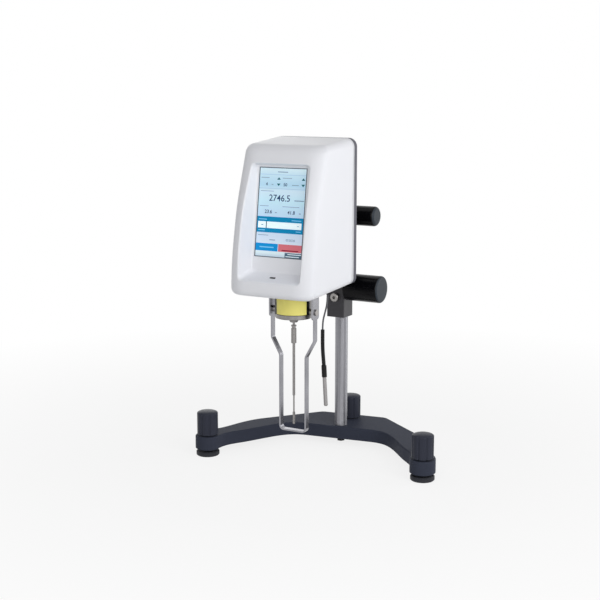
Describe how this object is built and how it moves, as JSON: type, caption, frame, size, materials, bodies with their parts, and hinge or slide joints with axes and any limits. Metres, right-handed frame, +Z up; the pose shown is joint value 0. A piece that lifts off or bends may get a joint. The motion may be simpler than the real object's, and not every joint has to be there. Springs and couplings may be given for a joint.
{
  "type": "rotational viscometer",
  "caption": "Bench rotational viscometer with a touch screen head on a rack column, a guarded spindle, a temperature probe and a levelling base.",
  "frame": {"origin": "on the bench under the middle of the instrument's box, without the hanging probe and its cable", "axes": "+Z up, -Y towards the operator at the screen, +X to the operator's right"},
  "size_m": [0.3183, 0.2475, 0.4117],
  "materials": {
    "base_paint": "slate grey satin powder coat",
    "steel_polished": "ground and polished steel",
    "stainless": "drawn stainless steel",
    "bracket_paint": "dark grey satin paint",
    "black_plastic": "black glossy moulded plastic",
    "slate_plastic": "slate grey moulded knob",
    "pad_rubber": "dark rubber-faced foot pad",
    "shell_white": "cool white satin housing",
    "cover_grey": "dark grey moulded cover",
    "glass_panel": "bonded display front",
    "bronze": "sintered bronze bush",
    "zinc_screw": "plated screw",
    "board_green": "circuit board laminate",
    "module_grey": "display module body",
    "foam_black": "foam gasket",
    "motor_black": "black motor body",
    "aluminium_plate": "milled aluminium",
    "spring_copper": "beryllium copper strip",
    "band_yellow": "plain yellow band with black ends",
    "cable_grey": "grey cable jacket",
    "sleeve_black": "black shrink sleeve"
  },
  "bodies": {
    "base": {"base_casting": "base_paint"},
    "column": {"column_rod": "steel_polished", "column_cap": "black_plastic", "column_washer": "zinc_screw", "column_bolt": "zinc_screw"},
    "carriage": {"lift_bracket": "bracket_paint", "guide_bushes": "bronze", "gib_screw": "zinc_screw", "mounting_screws": "zinc_screw", "pinion_bushes": "bronze", "front_shell": "shell_white", "rear_cover": "cover_grey", "cover_screws": "zinc_screw", "display_glass": "glass_panel", "display_gasket": "foam_black", "display_module": "module_grey", "chassis": "aluminium_plate", "drive_standoffs": "aluminium_plate", "motor_plate": "aluminium_plate", "drive_motor": "motor_black", "shaft_bearing": "zinc_screw", "circuit_board": "board_green", "board_spacers": "aluminium_plate", "gauge_cylinder": "stainless", "cylinder_band": "band_yellow", "pivot_cup": "stainless", "guard_leg": "stainless", "guard_studs": "zinc_screw", "probe_gland": "black_plastic", "probe_cable": "cable_grey", "probe_sleeve": "sleeve_black", "probe_ferrule": "sleeve_black", "probe_rod": "stainless", "switch_bezel": "black_plastic", "power_inlet": "black_plastic"},
    "lift_drive": {"lift_pinion": "zinc_screw", "pinion_shaft": "zinc_screw", "shaft_clip": "zinc_screw", "lift_knob": "black_plastic"},
    "clamp": {"clamp_screw": "zinc_screw", "clamp_knob": "black_plastic"},
    "rotor": {"motor_shaft": "zinc_screw", "drive_disc": "aluminium_plate", "torsion_spring": "spring_copper", "signal_disc": "zinc_screw", "pivot_shaft": "zinc_screw", "spindle_coupling": "stainless", "spindle": "stainless"},
    "rocker": {"rocker_switch": "black_plastic"},
    "left_pad": {"left_foot_pad": "pad_rubber"},
    "left_foot": {"left_foot_stud": "zinc_screw", "left_foot_knob": "slate_plastic"},
    "right_pad": {"right_foot_pad": "pad_rubber"},
    "right_foot": {"right_foot_stud": "zinc_screw", "right_foot_knob": "slate_plastic"},
    "rear_pad": {"rear_foot_pad": "pad_rubber"},
    "rear_foot": {"rear_foot_stud": "zinc_screw", "rear_foot_knob": "slate_plastic"}
  },
  "joints": [
    {"name": "column_swivel", "type": "hinge", "parent": "base", "child": "column", "pos_m": [-0.01601, 0.06429, 0.0266], "axis": [0, 0, 1], "range_deg": [-30, 30]},
    {"name": "head_lift", "type": "slide", "parent": "column", "child": "carriage", "axis": [0, 0, 1], "range_m": [-0.03519, 0.07037]},
    {"name": "lift_knob_turn", "type": "hinge", "parent": "carriage", "child": "lift_drive", "pos_m": [-0.01601, 0.05389, 0.216], "axis": [1, 0, 0], "range_deg": [-1010, 510]},
    {"name": "clamp_turn", "type": "hinge", "parent": "carriage", "child": "clamp", "pos_m": [-0.01601, 0.05209, 0.31], "axis": [1, 0, 0], "range_deg": [0, 180]},
    {"name": "spindle_spin", "type": "hinge", "parent": "carriage", "child": "rotor", "pos_m": [-0.01601, -0.06171, 0.2], "axis": [0, 0, 1], "continuous": true},
    {"name": "power_rocker", "type": "hinge", "parent": "carriage", "child": "rocker", "pos_m": [0.02199, -0.00471, 0.268], "axis": [1, 0, 0], "range_deg": [-6, 6]},
    {"name": "left_foot_travel", "type": "slide", "parent": "base", "child": "left_pad", "axis": [0, 0, 1], "range_m": [-0.0014, 0.0023]},
    {"name": "left_foot_turn", "type": "hinge", "parent": "left_pad", "child": "left_foot", "pos_m": [-0.14316, -0.06568, 0.02], "axis": [0, 0, 1], "range_deg": [-405, 665]},
    {"name": "right_foot_travel", "type": "slide", "parent": "base", "child": "right_pad", "axis": [0, 0, 1], "range_m": [-0.0014, 0.0023]},
    {"name": "right_foot_turn", "type": "hinge", "parent": "right_pad", "child": "right_foot", "pos_m": [0.14316, -0.0236, 0.02], "axis": [0, 0, 1], "range_deg": [-405, 665]},
    {"name": "rear_foot_travel", "type": "slide", "parent": "base", "child": "rear_pad", "axis": [0, 0, 1], "range_m": [-0.0014, 0.0023]},
    {"name": "rear_foot_turn", "type": "hinge", "parent": "rear_pad", "child": "rear_foot", "pos_m": [-0.02171, 0.10307, 0.02], "axis": [0, 0, 1], "range_deg": [-405, 665]}
  ],
  "couplings": [
    {"joint": "lift_knob_turn", "follows": "head_lift", "rad_per_m": -250},
    {"joint": "left_foot_turn", "follows": "left_foot_travel", "rad_per_m": 5026.5},
    {"joint": "right_foot_turn", "follows": "right_foot_travel", "rad_per_m": 5026.5},
    {"joint": "rear_foot_turn", "follows": "rear_foot_travel", "rad_per_m": 5026.5}
  ]
}
